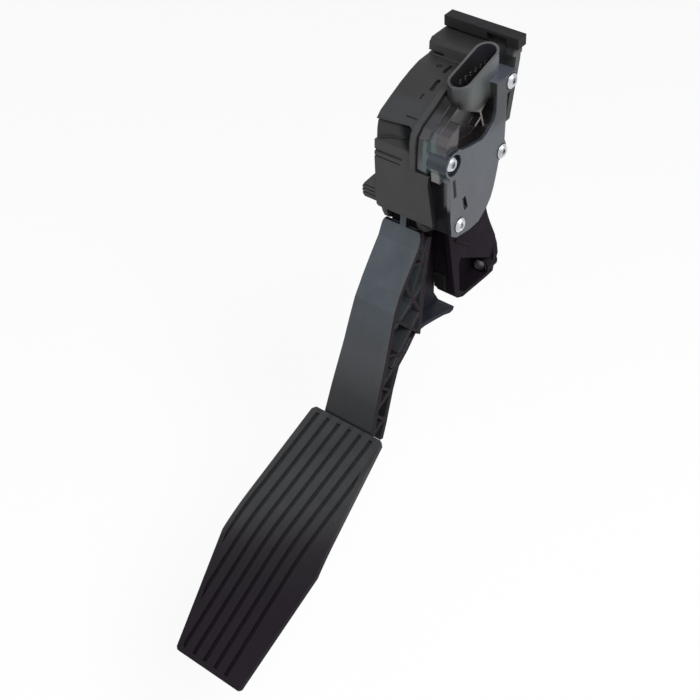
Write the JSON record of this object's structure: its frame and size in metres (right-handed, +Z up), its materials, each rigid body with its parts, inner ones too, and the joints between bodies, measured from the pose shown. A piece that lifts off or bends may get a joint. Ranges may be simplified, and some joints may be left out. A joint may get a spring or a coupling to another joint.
{
  "type": "accelerator pedal",
  "caption": "Hanging accelerator pedal with a long arm and grooved pad, a housing with return springs, and a side position sensor with an upright connector.",
  "frame": {"origin": "on the mounting plane, in the middle plane of the lever, at the height of the pivot", "axes": "+X along the pivot to the sensor side, +Y into the bulkhead, +Z up"},
  "size_m": [0.0583, 0.237, 0.2359],
  "materials": {
    "housing_plastic": "moulded, fine grain",
    "cover_plastic": "moulded, smooth",
    "lever_plastic": "moulded, glass filled",
    "pad_rubber": "matt, grooved",
    "carrier_plastic": "moulded",
    "seal_rubber": "soft",
    "zinc_steel": "bright zinc",
    "spring_steel": "drawn wire",
    "bush_plastic": "natural",
    "board_green": "laminate",
    "track_ink": "printed",
    "contact_metal": "bright",
    "shoe_material": "friction lining"
  },
  "bodies": {
    "housing_group": {"housing": "housing_plastic", "sensor_cover": "cover_plastic", "cover_seal": "seal_rubber", "cover_screws": "zinc_steel", "left_bush": "bush_plastic", "right_bush": "bush_plastic", "sensor_board": "board_green", "resistive_tracks": "track_ink", "connector_terminals": "contact_metal", "outer_return_spring": "spring_steel", "inner_return_spring": "spring_steel", "upper_spring_seat": "bush_plastic", "rest_buffer": "seal_rubber", "full_travel_buffer": "seal_rubber", "foot_sleeve": "zinc_steel"},
    "pedal": {"lever": "lever_plastic", "pad_carrier": "carrier_plastic", "pad_cover": "pad_rubber", "pivot_pin": "zinc_steel", "pin_clip": "spring_steel", "wiper_rotor": "bush_plastic", "wiper_contacts": "contact_metal"},
    "friction_group": {"friction_lever": "bush_plastic", "friction_shoe": "shoe_material"}
  },
  "joints": [
    {"name": "pedal_hinge", "type": "hinge", "parent": "housing_group", "child": "pedal", "pos_m": [0, -0.0405, 0], "axis": [1, 0, 0], "range_deg": [0, 16], "stiffness_Nm_per_rad": 4.4, "springref_deg": -28.65, "deforming": ["outer_return_spring", "inner_return_spring"]},
    {"name": "friction_rock", "type": "hinge", "parent": "pedal", "child": "friction_group", "pos_m": [0, -0.029, 0.009], "axis": [1, 0, 0], "range_deg": [0, 1.5], "stiffness_Nm_per_rad": 0.7, "springref_deg": -17.19}
  ]
}
